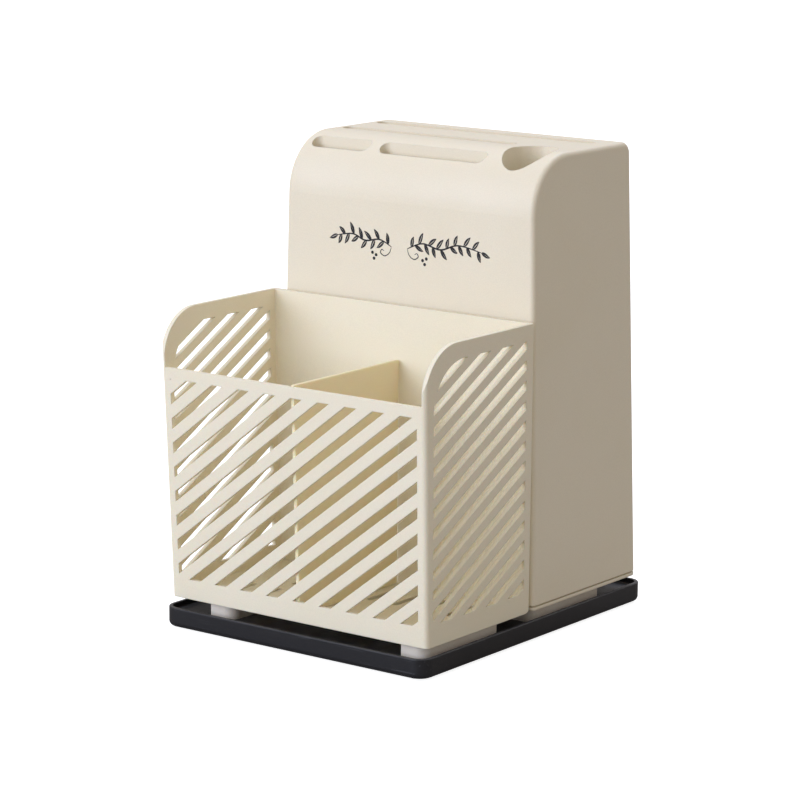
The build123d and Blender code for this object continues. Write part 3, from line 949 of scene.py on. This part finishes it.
# -------------------------------------------------------------- sub-assemblies
@dataclass
class Turntable:
    """Disc, races, balls and rivet under the tray."""

    plastic: MouldedPlastic = BLACK_DISC
    steel: PlatedSteel = ZINC_STEEL
    balls: PlatedSteel = POLISHED_STEEL
    cage: MouldedPlastic = NATURAL_ACETAL
    pads: PadRubber = PAD

    def dress(self, wardrobe: Wardrobe) -> None:
        """Puts the finishes on the turntable's pieces.

        Args:
            wardrobe: Maker of finishes.
        """
        wardrobe.dress("base_disc", self.plastic)
        wardrobe.dress("rubber_pads", self.pads)
        for node in ("lower_race", "upper_race", "pivot_rivet"):
            wardrobe.dress(node, self.steel)
        wardrobe.dress("bearing_balls", self.balls)
        for node in ("ball_cage", "rivet_washer"):
            wardrobe.dress(node, self.cage)
        wardrobe.dress("race_screws", SCREW_STEEL)


@dataclass
class DripTray:
    """Black tray that everything stands in."""

    plastic: MouldedPlastic = BLACK_TRAY

    def dress(self, wardrobe: Wardrobe) -> None:
        """Puts the finish on the tray."""
        wardrobe.dress("drip_tray", self.plastic)


@dataclass
class Basket:
    """Slotted basket with its divider and feet."""

    plastic: MouldedPlastic = CREAM_BASKET_PAINTED_GLOW
    divider_plastic: MouldedPlastic = CREAM_DIVIDER_PAINTED_GLOW
    foot_plastic: MouldedPlastic = CREAM_FOOT

    def dress(self, wardrobe: Wardrobe) -> None:
        """Puts the finishes on the basket's pieces.

        Args:
            wardrobe: Maker of finishes.
        """
        wardrobe.dress("basket", self.plastic)
        wardrobe.dress("divider", self.divider_plastic)
        wardrobe.dress("basket_feet", self.foot_plastic)
        wardrobe.dress("basket_foot_screws", SCREW_STEEL)


@dataclass
class Tower:
    """Closed blade tower with its base, rack and print."""

    plastic: MouldedPlastic = CREAM_SATIN
    foot_plastic: MouldedPlastic = CREAM_FOOT
    rack_plastic: MouldedPlastic = CREAM_RACK
    sprig: PrintedSprig = field(default_factory=PrintedSprig)

    def dress(self, wardrobe: Wardrobe) -> None:
        """Puts the finishes on the tower's pieces and prints the sprig.

        Args:
            wardrobe: Maker of finishes.
        """
        wardrobe.dress("tower_shell", self.plastic)
        wardrobe.dress("tower_base", self.plastic)
        wardrobe.dress("tower_feet", self.foot_plastic)
        wardrobe.dress("tower_foot_screws", SCREW_STEEL)
        wardrobe.dress("blade_guide", self.rack_plastic)
        self.sprig.build(wardrobe)


# ---------------------------------------------------------------------- studio
@dataclass(frozen=True)
class SoftLight:
    """One rectangular studio light aimed at a point."""

    name: str
    place: Point3
    aim: Point3
    size: Point2
    power: float
    tint: Colour

    def build(self) -> bpy.types.Object:
        """Makes the light.

        Returns:
            The lamp object.
        """
        data = bpy.data.lights.new(self.name, "AREA")
        data.shape = "RECTANGLE"
        data.size, data.size_y = self.size
        data.energy = self.power
        data.color = self.tint
        lamp = bpy.data.objects.new(self.name, data)
        bpy.context.scene.collection.objects.link(lamp)
        lamp.location = self.place
        heading = Vector(self.aim) - Vector(self.place)
        lamp.rotation_euler = heading.to_track_quat("-Z", "Y").to_euler()
        return lamp


@dataclass(frozen=True)
class StudioCamera:
    """Camera placed by direction, distance and roll about a target."""

    azimuth: float = 36.6202
    elevation: float = 11.5892
    roll: float = 0.5116
    distance: float = 1.62587
    target: Point3 = (0.018659, -0.033, 0.119987)
    lens: float = 147.387
    sensor: float = 36.0

    def build(self) -> bpy.types.Object:
        """Makes the camera and gives it to the scene.

        Returns:
            The camera object.
        """
        a, e, r = (math.radians(v) for v in (self.azimuth, self.elevation, self.roll))
        back = Vector((math.sin(a) * math.cos(e), -math.cos(a) * math.cos(e), math.sin(e)))
        level = Vector((math.cos(a), math.sin(a), 0.0))
        rise = back.cross(level)
        right = level * math.cos(r) + rise * math.sin(r)
        up = rise * math.cos(r) - level * math.sin(r)
        data = bpy.data.cameras.new("studio_camera")
        data.lens = self.lens
        data.sensor_width = self.sensor
        data.clip_start, data.clip_end = 0.05, 60.0
        camera = bpy.data.objects.new("studio_camera", data)
        bpy.context.scene.collection.objects.link(camera)
        turn = Matrix((right, up, back)).transposed().to_4x4()
        camera.matrix_world = Matrix.Translation(Vector(self.target) + back * self.distance) @ turn
        bpy.context.scene.camera = camera
        return camera


@dataclass
class Studio:
    """Pale floor, soft lights and the camera."""

    floor_half: float = 14.0
    floor_tone: Colour = (0.6, 0.6, 0.6)
    floor_glow: float = 0.88
    bounce_tone: Colour = (0.36, 0.34, 0.31)
    sky: Colour = (1.0, 0.94, 0.917)
    sky_strength: float = 0.4875
    camera: StudioCamera = field(default_factory=StudioCamera)
    lights: list[SoftLight] = field(default_factory=lambda: [
        SoftLight("key_light", (-1.4, -2.8, 1.75), (0.0, -0.02, 0.12), (2.4, 2.4), 52.5, (0.736, 0.80, 1.0)),
        SoftLight("low_light", (-0.6, -3.1, 0.7), (0.0, -0.02, 0.12), (2.2, 1.2), 37.8, (0.724, 0.795, 1.0)),
        SoftLight("rear_light", (-0.2, 1.5, 2.5), (0.0, 0.0, 0.1), (2.0, 2.0), 39.0, (0.77, 0.83, 1.0)),
    ])

    def _floor_material(self) -> Material:
        """Pale floor that throws only a little light back at the object.

        Returns:
            The floor's material.
        """
        material, graph, surface = new_surface("studio_floor_paint")
        path = graph.add("ShaderNodeLightPath")
        place = graph.add("ShaderNodeTexCoord").outputs["Object"]
        mottle = graph.span(graph.noise(place, 3.0, 2.0, 0.5), 0.3, 0.7, 0.985, 1.0)
        shade = graph.vector("SCALE", self.floor_tone)
        graph.feed(shade.inputs["Scale"], mottle)
        tone = mix_colours(graph, path.outputs["Is Camera Ray"], self.bounce_tone, shade.outputs[0])
        graph.join(tone, surface.inputs["Base Color"])
        surface.inputs["Roughness"].default_value = 0.9
        surface.inputs["Specular IOR Level"].default_value = 0.0
        glow = graph.math("MULTIPLY", path.outputs["Is Camera Ray"], self.floor_glow)
        surface.inputs["Emission Strength"].default_value = 1.0
        grey = graph.add("ShaderNodeCombineXYZ")
        for axis in "XYZ":
            graph.join(glow, grey.inputs[axis])
        graph.join(grey.outputs[0], surface.inputs["Emission Color"])
        return material

    def _sky_world(self) -> bpy.types.World:
        """Soft surround light; the camera itself sees plain white.

        Returns:
            The world.
        """
        world = bpy.data.worlds.new("studio_world")
        world.use_nodes = True
        world.node_tree.nodes.clear()
        graph = Graph(world.node_tree)
        background = graph.add("ShaderNodeBackground")
        output = graph.add("ShaderNodeOutputWorld")
        path = graph.add("ShaderNodeLightPath")
        soft = tuple(part * self.sky_strength for part in self.sky)
        tone = mix_colours(graph, path.outputs["Is Camera Ray"], soft, (1.0, 1.0, 1.0))
        graph.join(tone, background.inputs["Color"])
        graph.join(background.outputs[0], output.inputs["Surface"])
        return world

    def build(self) -> None:
        """Builds the floor, world, lights and camera."""
        mesh = bmesh.new()
        bmesh.ops.create_grid(mesh, x_segments=2, y_segments=2, size=self.floor_half)
        data = bpy.data.meshes.new("studio_floor")
        mesh.to_mesh(data)
        mesh.free()
        floor = bpy.data.objects.new("studio_floor", data)
        bpy.context.scene.collection.objects.link(floor)
        data.materials.append(self._floor_material())
        bpy.context.scene.world = self._sky_world()
        bpy.context.scene.view_settings.view_transform = "Standard"
        for light in self.lights:
            light.build()
        self.camera.build()
        LOG.info("studio ready")


def main() -> None:
    """Dresses the organizer piece by piece and sets up the studio."""
    logging.basicConfig(level=logging.INFO, format="%(name)s: %(message)s")
    wardrobe = Wardrobe()
    Turntable().dress(wardrobe)
    DripTray().dress(wardrobe)
    Basket().dress(wardrobe)
    Tower().dress(wardrobe)
    Studio().build()


if __name__ == "__main__":
    main()
